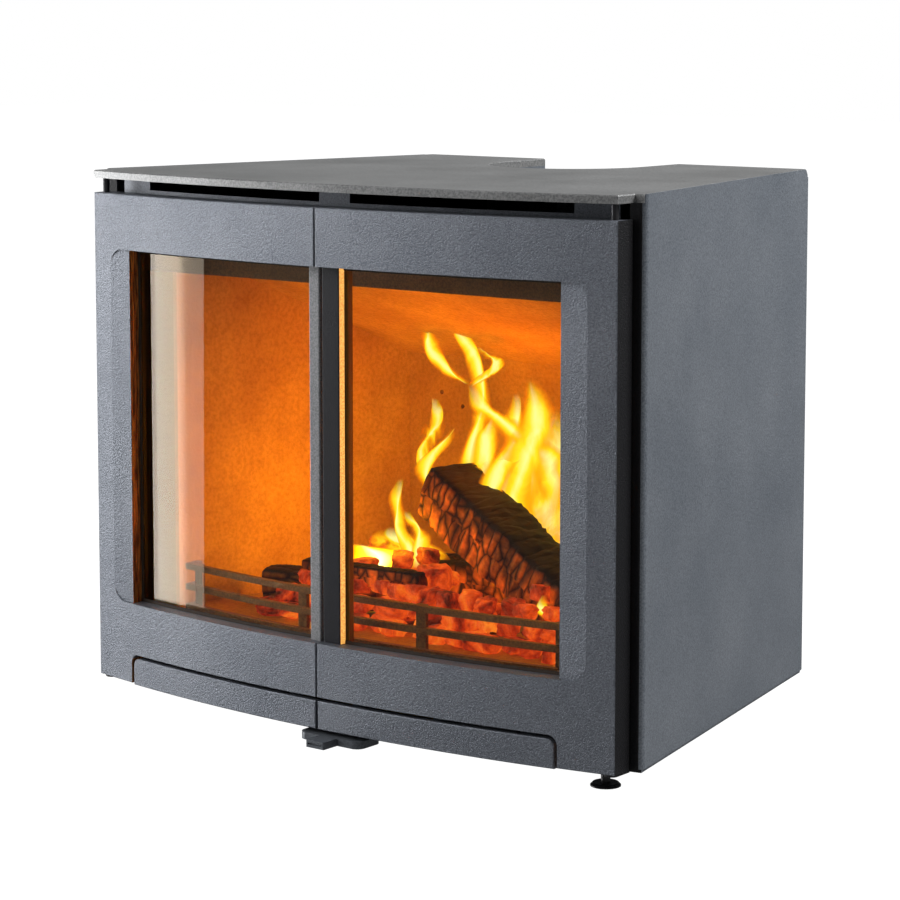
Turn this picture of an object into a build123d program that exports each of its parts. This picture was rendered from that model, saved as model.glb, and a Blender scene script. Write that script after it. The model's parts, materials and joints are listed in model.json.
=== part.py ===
from build123d import *
from math import atan2, degrees, sqrt
import os

# Inset wood stove with two bowed cast doors. Millimetres, +Z up, the doors face -Y.
# Every "from_doors" distance is measured back from the straight line between the door corners.

# Overall sizes
height = 488.0
casing_depth = 410.0
lever_reach = 50.0
front_half = 290.0
casing_half = front_half + 10.5
casing_start = 24.6
taper_slope = 0.2078
bow = 30.0
door_line = -(casing_depth - lever_reach) / 2
bow_radius = (front_half**2 + bow**2) / (2 * bow)
bow_centre = door_line - bow + bow_radius

# Clearances
fit_gap = 0.5
sheet_gap = 0.3
running_gap = 0.05
overcut = 5.0

# Casing
top_wall = 7.0
sheet = 2.0
panel_foot = 20.0
panel_flange = front_half - 5.0
panel_bend = 5.0
panel_corner = 8.0
base_wall = 3.0
base_setback = 25.0
plate_underside = height - top_wall
back_line = door_line + casing_depth

# Room-air vents in the rear panel
vent_z = 130.0
vent_length = 26.0
vent_width = 5.0
vent_columns = 9
vent_rows = 4

# Warm-air grille under the top plate
grille_setback = 27.0
grille_half = front_half - 15.0
grille_slot_start = 17.0
grille_slot_end = front_half - 54.0
grille_slot_foot = plate_underside - 10.5

# Flue notch, its skirt and the flue collar
flue_y = back_line - 72.0
notch_y = back_line - 65.0
notch_radius = 78.0
skirt_wall = 2.0
collar_play = 13.0
collar_radius = notch_radius - collar_play
collar_wall = 3.0
collar_top = height - 22.0
collar_flange_radius = collar_radius + 3.0
collar_flange_wall = 5.0

# Doors
door_foot = panel_foot - 1.0
door_head = plate_underside - 13.4
rim_depth = 21.0
half_seam = 0.5
window_foot = 93.0
window_head = door_head - 50.1
reveal_front_half = front_half - 25.0
reveal_back_half = front_half - 50.0
reveal_depth = 3.0
reveal_corner = 16.0
rail_wall = 7.0
rail_pocket_rim = 6.0
door_edge_round = 1.0
front_edge_break = 0.7

# Glass, seals and meeting stiles
glass_wall = 4.0
glass_lap = 9.0
glass_side_lap = 5.0
seal_wall = 1.0
seal_sight = 3.0
rebate_depth = 14.0
stile_start = 1.5
stile_ends = {"left": 12.9, "right": 20.5}
stile_setback = 8.0
clamp_lap = 2.1
stile_round = 1.2
stile_back_depth = 24.5
rope_inner_half = front_half - 40.0
rope_width = 8.0
rope_sink = 4.0
rope_proud = 4.0
rope_foot = window_foot - 30.0
rope_head = window_head + 21.5

# Flap in the foot of each door
flap_start = 1.2
flap_end = front_half - 53.0
flap_foot = 18.0
flap_head = 42.6
flap_wall = 8.0
flap_corner = 7.0
cutout_half = flap_end + 3.0
cutout_head = flap_head + 3.6
cutout_corner = flap_corner + 2.0
flap_pin_radius = 2.0
flap_pin_z = flap_head - 5.1
flap_pin_depth = 13.0
flap_pin_near = 30.0
flap_pin_far = flap_end - 27.0
flap_knuckle = 10.0
door_knuckle = 12.0
knuckle_radius = 4.0
knuckle_inset = 0.2
casting_lap = 1.0

# Door pivots
pivot_x = front_half - 8.0
pivot_y = door_line + 8.0
pivot_radius = 3.0
pivot_bore = 12.5
pivot_entry = 12.0
ear_wall = 2.0
ear_half = 6.0
ear_play = 0.6

# Firebox
frame_setback = 26.0
frame_wall = 4.0
frame_half = front_half - 20.0
frame_head = door_head - 9.6
frame_window_half = rope_inner_half - 3.0
frame_window_foot = window_foot - 15.0
frame_window_head = window_head + 9.5
pan_opening_half = 105.0
pan_opening_foot = 24.0
pan_opening_head = 56.0
shell_inset = 15.8
shell_wall = 4.0
shell_head = height - 48.0
shell_end = casing_depth - 3.0
floor_top = 60.0
brick_wall = 33.0
brick_start = 55.0
brick_face = 330.0
back_brick_wall = 25.0
hearth_top = 80.0
side_brick_head = shell_head - 6.0
back_brick_head = shell_head - 143.0
baffle_wall = 14.0
baffle_front = 120.0
baffle_front_z = shell_head - 50.0
lintel_y = 45.0
lintel_foot = window_head - 23.5
lintel_wall = 3.0
air_hole_radius = 2.25
air_hole_rows = (
    (back_brick_head - 37.0, (144.0, 38.0)),
    (back_brick_head - 49.0, (118.0, 12.0)),
)

# Grate, ash pan and log guard
grate_half = 80.0
grate_y = door_line + 190.0
grate_wall = 10.0
grate_slot = 7.0
grate_slots = 7
pan_half = 100.0
pan_start = 40.0
pan_end = 300.0
pan_wall = 1.5
pan_height = 32.0
guard_setback = 54.0
guard_half = front_half - 72.0
guard_bar = 5.5
guard_pitch = 19.0
guard_levels = [hearth_top + 5.0 + guard_pitch * row for row in range(3)]
guard_posts = (67.0, guard_half - 13.0)
guard_post_half = 5.0
guard_post_wall = 4.0

# Air lever and damper
lever_foot = 7.5
lever_head = 14.0
lever_x = 15.0
lever_tip_half = 10.0
tip_groove = 1.5
lever_base_half = 34.0
lever_base_reach = 32.0
lever_pivot_y = door_line + 60.0
lever_pivot_radius = 4.0
blade_wall = 3.0
damper_gap = 0.6
damper_radius = 62.0
inlet_half = 26.0
inlet_width = 16.0
inlet_y = door_line + 96.0

# Levelling feet
front_foot_x = front_half - 29.0
back_foot_x = front_half - 100.0
foot_places = {
    "front_left": (-front_foot_x, door_line + 75.0),
    "front_right": (front_foot_x, door_line + 30.0),
    "back_left": (-back_foot_x, back_line - 40.0),
    "back_right": (back_foot_x, back_line - 40.0),
}
foot_pad_radius = 12.75
foot_pad_wall = 3.0
foot_cone = 2.0
foot_stem_radius = 4.0
foot_stem_head = 44.0
bush_radius = 8.0
bush_height = 11.0

os.makedirs("parts", exist_ok=True)


def save(shape, name):
    """Label a finished piece and write its file."""
    shape.label = name
    export_step(shape, f"parts/{name}.step")


def save_pair(shape, name):
    """Write the right-hand piece and its mirror image on the left."""
    save(shape, f"{name}_right")
    save(mirror(shape, Plane.YZ), f"{name}_left")


def save_side(shape, name, side):
    """Write one piece of an unlike pair, drawn on the right."""
    save(mirror(shape, Plane.YZ) if side == "left" else shape, f"{name}_{side}")


def bow_y(x, depth):
    """Y of the bowed front at x, at a depth behind the front face."""
    return bow_centre - sqrt((bow_radius - depth) ** 2 - x**2)


def side_x(y, inset=0.0):
    """Half width of the tapered casing at y, less an inset."""
    return casing_half - taper_slope * (y - door_line - casing_start) - inset


def bow_band(x1, x2, near, far, z1, z2):
    """A plate that follows the bow between two depths."""
    middle = (x1 + x2) / 2
    near_points = [(x, bow_y(x, near)) for x in (x1, middle, x2)]
    far_points = [(x, bow_y(x, far)) for x in (x2, middle, x1)]
    with BuildPart() as band:
        with BuildSketch(Plane.XY.offset(z1)):
            with BuildLine():
                ThreePointArc(*near_points)
                Line(near_points[-1], far_points[0])
                ThreePointArc(*far_points)
                Line(far_points[-1], near_points[0])
            make_face()
        extrude(amount=z2 - z1)
    return band.part


def taper_block(y1, y2, inset, z1, z2):
    """A block that follows the tapered casing sides between two y values."""
    corners = [
        (-side_x(y1, inset), y1),
        (side_x(y1, inset), y1),
        (side_x(y2, inset), y2),
        (-side_x(y2, inset), y2),
    ]
    with BuildPart() as block:
        with BuildSketch(Plane.XY.offset(z1)):
            with BuildLine():
                Polyline(*corners, close=True)
            make_face()
        extrude(amount=z2 - z1)
    return block.part


def cuboid(x1, x2, y1, y2, z1, z2):
    """A plain block given by its limits."""
    with BuildPart() as block:
        with BuildSketch(Plane.XY.offset(z1)):
            with Locations(((x1 + x2) / 2, (y1 + y2) / 2)):
                Rectangle(x2 - x1, y2 - y1)
        extrude(amount=z2 - z1)
    return block.part


def upright(x, y, radius, z1, z2):
    """A vertical cylinder."""
    with BuildPart() as rod:
        with BuildSketch(Plane.XY.offset(z1)):
            with Locations((x, y)):
                Circle(radius)
        extrude(amount=z2 - z1)
    return rod.part


def rounded_cut(x1, x2, z1, z2, low_corner, high_corner):
    """A cutter along Y whose corners at x2 are rounded."""
    with BuildPart() as cutter:
        with BuildSketch(Plane.XZ.offset(-door_line - casing_start * 4)):
            with Locations(((x1 + x2) / 2, (z1 + z2) / 2)):
                Rectangle(x2 - x1, z2 - z1)
        extrude(amount=casing_start * 8)
        outer = cutter.edges().filter_by(Axis.Y).group_by(Axis.X)[-1].sort_by(Axis.Z)
        if low_corner:
            fillet(outer[0], low_corner)
        if high_corner:
            fillet(outer[-1], high_corner)
    return cutter.part


# Bowed regions that trim the pieces behind the doors
trim_half = casing_half + bow
trim_head = height + overcut


def ahead_of(depth):
    """Everything in front of a bowed surface at a depth behind the doors' face."""
    return bow_band(-trim_half, trim_half, -trim_half / 2, depth, -overcut, trim_head)


ahead_of_base = ahead_of(base_setback)
ahead_of_shell = ahead_of(frame_setback + frame_wall)
ahead_of_plate = ahead_of(0)

# Top plate between the side panels, with the flue notch open to the back
with BuildPart() as top_plate:
    add(
        taper_block(
            door_line + casing_start, back_line, sheet + sheet_gap, plate_underside, height
        )
    )
    add(
        cuboid(
            -front_half, front_half, door_line - bow, door_line + casing_start + fit_gap,
            plate_underside, height,
        )
    )
    add(ahead_of_plate, mode=Mode.SUBTRACT)
    add(upright(0, notch_y, notch_radius, plate_underside - overcut, height + overcut),
        mode=Mode.SUBTRACT)
    add(
        cuboid(
            -notch_radius, notch_radius, notch_y, back_line + overcut,
            plate_underside - overcut, height + overcut,
        ),
        mode=Mode.SUBTRACT,
    )
    chamfer(top_plate.faces().sort_by(Axis.Z)[-1].edges(), door_edge_round)
save(top_plate.part, "top_plate")

# Side panel: one bent sheet with a rounded front flange
panel_front = door_line + casing_start
panel_end = back_line - sheet - sheet_gap
with BuildPart() as side_panel:
    with BuildSketch(Plane.XY.offset(panel_foot)):
        with BuildLine():
            Polyline(
                (panel_flange, panel_front),
                (casing_half, panel_front),
                (side_x(panel_end), panel_end),
                (side_x(panel_end) - sheet, panel_end),
                (casing_half - sheet, panel_front + sheet),
                (panel_flange, panel_front + sheet),
                close=True,
            )
        make_face()
    extrude(amount=height - panel_foot)
    inner_bend = side_panel.edges().filter_by(Axis.Z).sort_by_distance(
        (casing_half - sheet, panel_front + sheet, height / 2)
    )[0]
    fillet(inner_bend, panel_bend - sheet)
    outer_bend = side_panel.edges().filter_by(Axis.Z).sort_by_distance(
        (casing_half, panel_front, height / 2)
    )[0]
    fillet(outer_bend, panel_bend)
    back_top = (
        side_panel.edges()
        .filter_by(lambda edge: edge.length < sheet * 2)
        .group_by(Axis.Z)[-1]
        .sort_by(Axis.Y)[-1]
    )
    fillet(back_top, panel_corner)
    add(
        taper_block(
            panel_front - fit_gap, panel_front + panel_bend + fit_gap, sheet,
            plate_underside, height + overcut,
        ),
        mode=Mode.SUBTRACT,
    )
save_pair(side_panel.part, "side_panel")

# Rear panel with an opening under the flue notch
with BuildPart() as rear_panel:
    add(
        taper_block(
            back_line - sheet, back_line, sheet_gap, panel_foot, plate_underside - sheet_gap
        )
    )
    add(
        cuboid(
            -notch_radius - skirt_wall - sheet_gap, notch_radius + skirt_wall + sheet_gap,
            back_line - sheet - overcut, back_line + overcut, shell_head, height,
        ),
        mode=Mode.SUBTRACT,
    )
    with BuildSketch(Plane.XZ.offset(-back_line - overcut)):
        with Locations((0, vent_z)):
            with GridLocations(vent_length + vent_width * 2, vent_width * 3, vent_columns, vent_rows):
                SlotOverall(vent_length, vent_width)
    extrude(amount=overcut * 4, mode=Mode.SUBTRACT)
save(rear_panel.part, "rear_panel")

# Skirt that lines the flue notch below the plate
with BuildPart() as flue_skirt:
    add(upright(0, notch_y, notch_radius + skirt_wall, shell_head, plate_underside))
    add(
        cuboid(
            -notch_radius - skirt_wall, notch_radius + skirt_wall, notch_y, back_line,
            shell_head, plate_underside,
        )
    )
    add(upright(0, notch_y, notch_radius, shell_head, plate_underside), mode=Mode.SUBTRACT)
    add(
        cuboid(
            -notch_radius, notch_radius, notch_y, back_line + notch_radius,
            shell_head, plate_underside,
        ),
        mode=Mode.SUBTRACT,
    )
    add(
        cuboid(
            -casing_half, casing_half, back_line, back_line + notch_radius,
            shell_head, plate_underside,
        ),
        mode=Mode.SUBTRACT,
    )
save(flue_skirt.part, "flue_skirt")

# Base plate with a bush for each levelling foot and the primary air inlet
base_foot = panel_foot - base_wall
with BuildPart() as base_plate:
    add(taper_block(door_line - bow, back_line - sheet_gap, sheet, base_foot, panel_foot))
    add(ahead_of_base, mode=Mode.SUBTRACT)
    for foot_x, foot_y in foot_places.values():
        add(upright(foot_x, foot_y, bush_radius, panel_foot, panel_foot + bush_height))
    for foot_x, foot_y in foot_places.values():
        add(
            upright(
                foot_x, foot_y, foot_stem_radius + running_gap,
                base_foot - overcut, foot_stem_head,
            ),
            mode=Mode.SUBTRACT,
        )
    with BuildSketch(Plane.XY.offset(panel_foot)):
        with Locations((lever_x, inlet_y)):
            SlotOverall(2 * inlet_half, inlet_width)
    extrude(amount=-base_wall, mode=Mode.SUBTRACT)
save(base_plate.part, "base_plate")

# Lower hinge ear on the front edge of the base plate, with its pivot pin, and the upper pin
ear_head = door_foot - ear_play
with BuildPart() as lower_hinge:
    add(
        cuboid(
            pivot_x - ear_half, pivot_x + ear_half, pivot_y - ear_half,
            pivot_y + front_half, ear_head - ear_wall, ear_head,
        )
    )
    add(ahead_of_base, mode=Mode.INTERSECT)
    fillet(lower_hinge.edges().filter_by(Axis.Z).group_by(Axis.Y)[0], ear_half - fit_gap)
    add(upright(pivot_x, pivot_y, pivot_radius, ear_head, door_foot + pivot_entry))
save_pair(lower_hinge.part, "lower_hinge")

with BuildPart() as upper_pivot:
    add(upright(pivot_x, pivot_y, pivot_radius, door_head - pivot_entry, plate_underside))
save_pair(upper_pivot.part, "upper_pivot")

# Warm-air grille: a bowed strip with two long openings
with BuildPart() as air_grille:
    add(
        bow_band(
            -grille_half, grille_half, grille_setback, grille_setback + sheet,
            frame_head, plate_underside,
        )
    )
    for side in (-1, 1):
        x1, x2 = sorted((side * grille_slot_start, side * grille_slot_end))
        add(
            cuboid(
                x1, x2, door_line - bow * 2, door_line + bow * 2,
                grille_slot_foot, height,
            ),
            mode=Mode.SUBTRACT,
        )
save(air_grille.part, "air_grille")

# Front frame behind the doors
with BuildPart() as front_frame:
    add(
        bow_band(
            -frame_half, frame_half, frame_setback, frame_setback + frame_wall,
            panel_foot, frame_head,
        )
    )
    add(
        cuboid(
            -frame_window_half, frame_window_half, door_line - bow * 2, door_line + bow * 2,
            frame_window_foot, frame_window_head,
        ),
        mode=Mode.SUBTRACT,
    )
    add(
        cuboid(
            -pan_opening_half, pan_opening_half, door_line - bow * 2, door_line + bow * 2,
            pan_opening_foot, pan_opening_head,
        ),
        mode=Mode.SUBTRACT,
    )
    for foot_x, foot_y in foot_places.values():
        add(
            upright(
                foot_x, foot_y, bush_radius + fit_gap, panel_foot - overcut,
                foot_stem_head + overcut,
            ),
            mode=Mode.SUBTRACT,
        )
save(front_frame.part, "front_frame")

# Welded shell of the firebox, open to the front and over the ash pan
shell_back = door_line + shell_end
shell_inner = shell_inset + shell_wall
shell_inside = taper_block(
    door_line - bow * 2, shell_back - shell_wall, shell_inner, panel_foot - overcut, height
)
with BuildPart() as shell_walls:
    add(taper_block(door_line - bow, shell_back, shell_inset, panel_foot, shell_head))
    add(ahead_of_shell, mode=Mode.SUBTRACT)
    add(shell_inside, mode=Mode.SUBTRACT)
    add(
        cuboid(
            -casing_half, casing_half, shell_back - shell_wall, shell_back,
            panel_foot, shell_head,
        ),
        mode=Mode.SUBTRACT,
    )
shell_side = shell_walls.part.solids().sort_by(Axis.X)[-1]
save_pair(Part(shell_side.wrapped), "shell_side")

save(
    taper_block(shell_back - shell_wall, shell_back, shell_inset, panel_foot, shell_head),
    "shell_back",
)

shell_plate_inset = shell_inner + running_gap
shell_plate_end = shell_back - shell_wall - running_gap
with BuildPart() as shell_floor:
    add(
        taper_block(
            door_line - bow, shell_plate_end, shell_plate_inset,
            floor_top - shell_wall, floor_top,
        )
    )
    add(ahead_of_shell, mode=Mode.SUBTRACT)
    grate_opening = grate_half - grate_slot
    add(
        cuboid(
            -grate_opening, grate_opening, grate_y - grate_opening, grate_y + grate_opening,
            panel_foot, hearth_top,
        ),
        mode=Mode.SUBTRACT,
    )
save(shell_floor.part, "shell_floor")

with BuildPart() as shell_roof:
    add(
        taper_block(
            door_line - bow, shell_plate_end, shell_plate_inset,
            shell_head - shell_wall, shell_head,
        )
    )
    add(ahead_of_shell, mode=Mode.SUBTRACT)
    add(
        upright(0, flue_y, collar_radius - collar_wall, shell_head - overcut * 2, height),
        mode=Mode.SUBTRACT,
    )
save(shell_roof.part, "shell_roof")

# Flue collar on the shell
with BuildPart() as flue_collar:
    add(upright(0, flue_y, collar_radius, shell_head, collar_top))
    add(
        upright(
            0, flue_y, collar_flange_radius, shell_head,
            shell_head + collar_flange_wall,
        )
    )
    add(
        upright(0, flue_y, collar_radius - collar_wall, shell_head - overcut, height),
        mode=Mode.SUBTRACT,
    )
    add(
        cuboid(
            -notch_radius, notch_radius, back_line - sheet - sheet_gap, back_line + notch_radius,
            shell_head, height,
        ),
        mode=Mode.SUBTRACT,
    )
    top_rim = flue_collar.faces().sort_by(Axis.Z)[-1].edges()
    chamfer(top_rim, door_edge_round)
save(flue_collar.part, "flue_collar")

# Firebrick lining
brick_inset = shell_inset + shell_wall + fit_gap
brick_front = door_line + brick_start
brick_back_y = door_line + brick_face
with BuildPart() as lining:
    add(taper_block(brick_front, brick_back_y - fit_gap, brick_inset, floor_top, side_brick_head))
    add(
        taper_block(
            brick_front - overcut, brick_back_y, brick_inset + brick_wall,
            floor_top - overcut, height,
        ),
        mode=Mode.SUBTRACT,
    )
with BuildPart() as side_brick:
    add(lining.part.solids().sort_by(Axis.X)[-1])
    front_edges = side_brick.faces().sort_by(Axis.Y)[0].edges().filter_by(Axis.Z)
    chamfer(front_edges, door_edge_round * 2)
save_pair(side_brick.part, "side_brick")

with BuildPart() as back_brick:
    add(
        taper_block(
            brick_back_y, brick_back_y + back_brick_wall, brick_inset, floor_top,
            back_brick_head,
        )
    )
    for hole_z, hole_places in air_hole_rows:
        for hole_x in hole_places:
            for side in (-1, 1):
                with BuildSketch(Plane.XZ.offset(-brick_back_y)):
                    with Locations((side * hole_x, hole_z)):
                        Circle(air_hole_radius)
                extrude(amount=-back_brick_wall, mode=Mode.SUBTRACT)
save(back_brick.part, "back_brick")

# Duct behind the back brick that feeds its air holes
duct_front = brick_back_y + back_brick_wall
with BuildPart() as rear_duct:
    add(
        taper_block(
            duct_front + fit_gap, shell_back - shell_wall - fit_gap,
            brick_inset, back_brick_head - sheet, back_brick_head,
        )
    )
    for side in (-1, 1):
        x1, x2 = sorted((side * (collar_radius + bow), side * (collar_radius + bow + sheet)))
        add(
            cuboid(
                x1, x2, duct_front + fit_gap, shell_back - shell_wall - fit_gap,
                floor_top, back_brick_head,
            )
        )
save(rear_duct.part, "rear_duct")

# Hearth brick round the grate, and the cast sill in front of it
with BuildPart() as hearth_brick:
    add(
        taper_block(
            brick_front, brick_back_y - fit_gap, brick_inset + brick_wall + fit_gap,
            floor_top, hearth_top,
        )
    )
    add(
        cuboid(
            -grate_half - fit_gap, grate_half + fit_gap,
            grate_y - grate_half - fit_gap, grate_y + grate_half + fit_gap,
            floor_top, hearth_top,
        ),
        mode=Mode.SUBTRACT,
    )
save(hearth_brick.part, "hearth_brick")

with BuildPart() as hearth_sill:
    add(
        taper_block(
            door_line - bow, brick_front - fit_gap, brick_inset, floor_top, hearth_top,
        )
    )
    add(ahead_of_shell, mode=Mode.SUBTRACT)
save(hearth_sill.part, "hearth_sill")

# Cast grate with long slots, seated on the shell floor
with BuildPart() as grate:
    add(
        cuboid(
            -grate_half, grate_half, grate_y - grate_half, grate_y + grate_half,
            hearth_top - grate_wall, hearth_top,
        )
    )
    with BuildSketch(Plane.XY.offset(hearth_top)):
        with Locations((0, grate_y)):
            with GridLocations(2 * grate_half / (grate_slots + 1), 0, grate_slots, 1):
                SlotOverall(2 * grate_half - 4 * grate_slot, grate_slot, rotation=90)
    extrude(amount=-grate_wall, mode=Mode.SUBTRACT)
    grate_leg = grate_half - grate_slot / 2
    for leg_x in (-grate_leg, grate_leg):
        for leg_y in (grate_y - grate_leg, grate_y + grate_leg):
            add(upright(leg_x, leg_y, grate_slot / 2, floor_top, hearth_top - grate_wall))
save(grate.part, "grate")

# Sloping baffle between the side bricks
baffle_inset = brick_inset + brick_wall + fit_gap
with BuildPart() as baffle:
    with BuildSketch(Plane.YZ.offset(-casing_half)):
        with BuildLine():
            Polyline(
                (brick_back_y + back_brick_wall, back_brick_head),
                (brick_back_y + back_brick_wall, back_brick_head + baffle_wall),
                (door_line + baffle_front, baffle_front_z + baffle_wall),
                (door_line + baffle_front, baffle_front_z),
                (brick_back_y - fit_gap, back_brick_head),
                close=True,
            )
        make_face()
    extrude(amount=2 * casing_half)
    add(
        taper_block(door_line, back_line, baffle_inset, floor_top, height),
        mode=Mode.INTERSECT,
    )
save(baffle.part, "baffle")

# Air-wash lintel above the window
with BuildPart() as air_lintel:
    lintel_line = door_line + lintel_y
    add(
        taper_block(
            lintel_line, lintel_line + lintel_wall, brick_inset, lintel_foot,
            shell_head - shell_wall - fit_gap,
        )
    )
    add(
        taper_block(
            lintel_line, lintel_line + lintel_wall * 3, brick_inset,
            shell_head - shell_wall - fit_gap - lintel_wall, shell_head - shell_wall - fit_gap,
        )
    )
save(air_lintel.part, "air_lintel")

# Ash pan under the grate
with BuildPart() as ash_pan:
    pan_y1 = door_line + pan_start
    pan_y2 = door_line + pan_end
    add(cuboid(-pan_half, pan_half, pan_y1, pan_y2, panel_foot, panel_foot + pan_height))
    fillet(ash_pan.edges().filter_by(Axis.Z), panel_bend)
    pan_rim = ash_pan.faces().sort_by(Axis.Z)[-1]
    offset(amount=-pan_wall, openings=pan_rim)
    add(
        cuboid(
            -pan_half / 3, pan_half / 3, pan_y1 - flap_knuckle, pan_y1,
            panel_foot + pan_height / 2, panel_foot + pan_height / 2 + pan_wall,
        )
    )
save(ash_pan.part, "ash_pan")

# Log guard: three bowed bars on four posts
with BuildPart() as log_guard:
    for level in guard_levels:
        add(
            bow_band(
                -guard_half, guard_half, guard_setback, guard_setback + guard_bar,
                level - guard_bar / 2, level + guard_bar / 2,
            )
        )
    for post in guard_posts:
        for side in (-1, 1):
            x1, x2 = sorted((side * (post - guard_post_half), side * (post + guard_post_half)))
            add(
                bow_band(
                    x1, x2, guard_setback + guard_bar,
                    guard_setback + guard_bar + guard_post_wall,
                    hearth_top, guard_levels[-1] + guard_bar / 2,
                )
            )
    for side in (-1, 1):
        x1, x2 = sorted((side * (guard_half - guard_bar), side * guard_half))
        for level in guard_levels:
            add(
                cuboid(
                    x1, x2, bow_y(guard_half, guard_setback) + guard_bar / 2,
                    bow_y(guard_half, guard_setback) + guard_bar * 3,
                    level - guard_bar / 2, level + guard_bar / 2,
                )
            )
save(log_guard.part, "log_guard")

# Right door casting: rim, pocketed rails and a sloping reveal at the outer side
reveal_shape = rounded_cut(
    -overcut, reveal_front_half, window_foot, window_head, reveal_corner, reveal_corner
)
with BuildPart() as window_cut:
    with BuildSketch(Plane.XY.offset(window_foot)):
        with BuildLine():
            Polyline(
                (-overcut, door_line - bow * 2),
                (reveal_front_half, door_line - bow * 2),
                (reveal_front_half, bow_y(reveal_front_half, 0)),
                (reveal_back_half, bow_y(reveal_back_half, reveal_depth)),
                (reveal_back_half, door_line + bow * 2),
                (-overcut, door_line + bow * 2),
                close=True,
            )
        make_face()
    extrude(amount=window_head - window_foot)
    add(reveal_shape, mode=Mode.INTERSECT)

glass_edge = reveal_back_half + glass_side_lap
rope_outer_half = rope_inner_half + rope_width
rope_back = rim_depth + rope_proud
flap_cut = rounded_cut(-overcut, cutout_half, -overcut, cutout_head, 0, cutout_corner)
pin_near = Vector(flap_pin_near, bow_y(flap_pin_near, flap_pin_depth), flap_pin_z)
pin_far = Vector(flap_pin_far, bow_y(flap_pin_far, flap_pin_depth), flap_pin_z)
pin_line = (pin_far - pin_near).normalized()


def pin_rod(radius, start, end):
    """A cylinder along the flap pin between two distances from its near end."""
    with BuildPart() as rod:
        with BuildSketch(Plane(origin=pin_near + pin_line * start, z_dir=pin_line)):
            Circle(radius)
        extrude(amount=end - start)
    return rod.part


def rope_ring(play, near, far):
    """The C-shaped run of the door rope, wider by a play on each side."""
    outer = bow_band(
        half_seam, rope_outer_half + play, near, far, rope_foot - play, rope_head + play
    )
    inner = bow_band(
        -overcut, rope_inner_half - play, near - overcut, far + overcut,
        rope_foot + rope_width + play, rope_head - rope_width - play,
    )
    with BuildPart() as ring:
        add(outer)
        add(inner, mode=Mode.SUBTRACT)
    return ring.part


pin_length = (pin_far - pin_near).length
knuckle_starts = [0.0, (pin_length - door_knuckle) / 2, pin_length - door_knuckle]
with BuildPart() as door:
    add(bow_band(half_seam, front_half, 0, rim_depth, door_foot, door_head))
    front_face = door.faces().filter_by(GeomType.CYLINDER).sort_by(Axis.Y)[0]
    chamfer(front_face.edges(), front_edge_break)
    add(window_cut.part, mode=Mode.SUBTRACT)
    add(flap_cut, mode=Mode.SUBTRACT)
    for pocket_foot, pocket_head in (
        (cutout_head + rail_pocket_rim, rope_foot - rail_pocket_rim),
        (rope_head + rail_pocket_rim, door_head - rail_pocket_rim),
    ):
        add(
            bow_band(
                half_seam + rail_pocket_rim, reveal_front_half, rail_wall,
                rim_depth + overcut, pocket_foot, pocket_head,
            ),
            mode=Mode.SUBTRACT,
        )
    add(
        bow_band(
            -overcut, glass_edge + fit_gap, rebate_depth, rim_depth + overcut,
            window_foot - glass_lap - fit_gap, window_head + glass_lap + fit_gap,
        ),
        mode=Mode.SUBTRACT,
    )
    add(rope_ring(sheet_gap, rim_depth - rope_sink, rim_depth + overcut), mode=Mode.SUBTRACT)
    for start in knuckle_starts:
        add(pin_rod(knuckle_radius, start, start + door_knuckle))
        knuckle_x = (pin_near + pin_line * (start + door_knuckle / 2)).X
        add(
            bow_band(
                knuckle_x - door_knuckle / 2 + knuckle_inset,
                knuckle_x + door_knuckle / 2 - knuckle_inset,
                flap_pin_depth, flap_pin_depth + knuckle_radius,
                flap_pin_z, cutout_head + casting_lap,
            )
        )
    add(pin_rod(flap_pin_radius, -overcut, pin_length + overcut), mode=Mode.SUBTRACT)
    for bore_foot in (door_foot, door_head - pivot_bore):
        add(
            upright(
                pivot_x, pivot_y, pivot_radius + running_gap, bore_foot,
                bore_foot + pivot_bore,
            ),
            mode=Mode.SUBTRACT,
        )
save_pair(door.part, "door")

# Glass
seal_back = rebate_depth + seal_wall
with BuildPart() as glass:
    add(
        bow_band(
            stile_start, glass_edge, seal_back, seal_back + glass_wall,
            window_foot - glass_lap, window_head + glass_lap,
        )
    )
save_pair(glass.part, "glass")

# Seal, meeting stile and its clamp: the right stile is the wider one
for side, stile_end in stile_ends.items():
    with BuildPart() as glass_seal:
        add(
            bow_band(
                stile_end + sheet_gap, glass_edge, rebate_depth, seal_back,
                window_foot - glass_lap, window_head + glass_lap,
            )
        )
        add(
            bow_band(
                -overcut, reveal_back_half - seal_sight, rebate_depth - overcut,
                seal_back + overcut, window_foot + seal_sight, window_head - seal_sight,
            ),
            mode=Mode.SUBTRACT,
        )
    save_side(glass_seal.part, "glass_seal", side)

    with BuildPart() as meeting_stile:
        add(
            bow_band(
                stile_start, stile_end, stile_setback, seal_back,
                window_foot + sheet_gap, window_head - sheet_gap,
            )
        )
        fillet(
            meeting_stile.edges().filter_by(Axis.Z).sort_by(Axis.Y)[:2],
            stile_round,
        )
    save_side(meeting_stile.part, "meeting_stile", side)

    with BuildPart() as stile_clamp:
        add(
            bow_band(
                stile_start, stile_end + clamp_lap, seal_back + glass_wall, stile_back_depth,
                window_foot - glass_lap, window_head + glass_lap,
            )
        )
    save_side(stile_clamp.part, "stile_clamp", side)

# Door rope in its groove
with BuildPart() as door_rope:
    add(rope_ring(0, rim_depth - rope_sink, rope_back))
save_pair(door_rope.part, "door_rope")

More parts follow.
